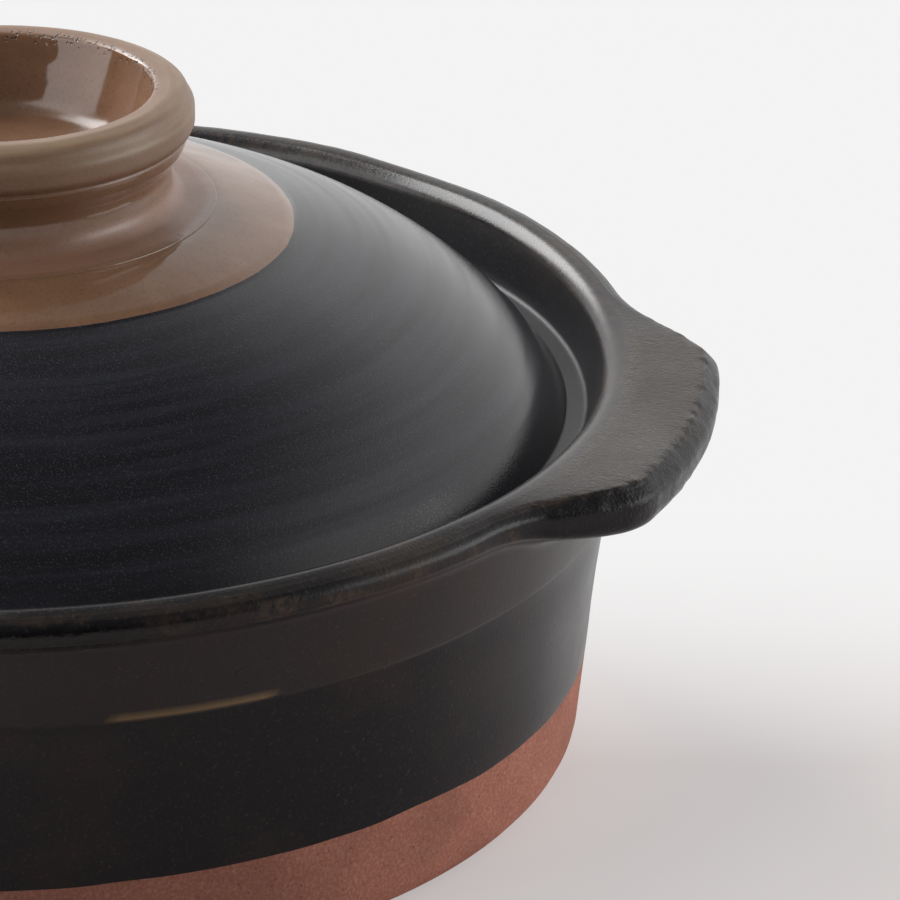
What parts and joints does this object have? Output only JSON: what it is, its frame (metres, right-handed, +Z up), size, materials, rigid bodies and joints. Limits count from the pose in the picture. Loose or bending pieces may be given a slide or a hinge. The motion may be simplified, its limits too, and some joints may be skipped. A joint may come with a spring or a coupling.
{
  "type": "donabe clay pot",
  "caption": "Low round stoneware pot with two rim lugs, and a domed lid with a steam hole and an open ring knob that rests on an inner ledge.",
  "frame": {"origin": "centre of the flat base, on the surface that the pot stands on", "axes": "+Z up along the axis of the bowl and lid; the two lugs lie along +X and -X; the lid's steam hole is over -X"},
  "size_m": [0.291, 0.26, 0.1408],
  "materials": {
    "pot_glaze": "satin brown-black glaze over coarse stoneware, foot band left bare reddish brown",
    "lid_glaze": "satin blue-black glaze with fine sandy grain, taupe gloss glaze round the crown",
    "knob_glaze": "glossy taupe glaze"
  },
  "bodies": {
    "pot": {"pot_bowl": "pot_glaze", "pot_collar": "pot_glaze", "handle_lug_right": "pot_glaze", "handle_lug_left": "pot_glaze"},
    "lid": {"lid_dome": "lid_glaze", "lid_knob": "knob_glaze"}
  },
  "joints": [
    {"name": "lid_lift", "type": "slide", "parent": "pot", "child": "lid", "axis": [0, 0, 1], "range_m": [0, 0.12]}
  ]
}
